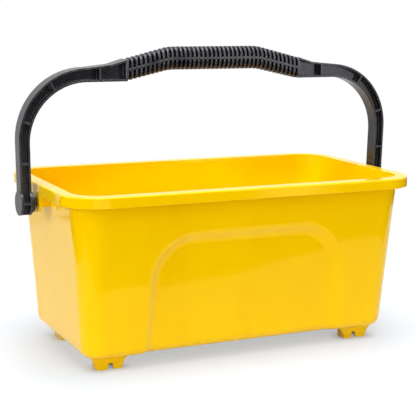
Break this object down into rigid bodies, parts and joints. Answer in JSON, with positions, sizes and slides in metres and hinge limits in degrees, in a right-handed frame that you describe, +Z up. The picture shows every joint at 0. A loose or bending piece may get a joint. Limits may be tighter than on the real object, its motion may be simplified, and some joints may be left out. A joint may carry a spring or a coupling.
{
  "type": "window cleaning bucket",
  "caption": "Rectangular window cleaning bucket with a turned-down rim, arched recesses in its long walls, hollow corner feet and a swinging bail handle with a finned grip.",
  "frame": {"origin": "centre of the rectangle on which the feet stand, at the level of their undersides", "axes": "+X along the bucket's length, +Y from the front long wall to the rear one, +Z up"},
  "size_m": [0.5252, 0.271, 0.3874],
  "materials": {
    "tub_polypropylene": "glossy injection-moulded polypropylene, yellow",
    "handle_polypropylene": "satin injection-moulded polypropylene, black"
  },
  "bodies": {
    "tub": {"tub": "tub_polypropylene"},
    "handle": {"handle": "handle_polypropylene"}
  },
  "joints": [
    {"name": "handle_swing", "type": "hinge", "parent": "tub", "child": "handle", "pos_m": [0, 0, 0.1977], "axis": [1, 0, 0], "range_deg": [-124, 124]}
  ]
}
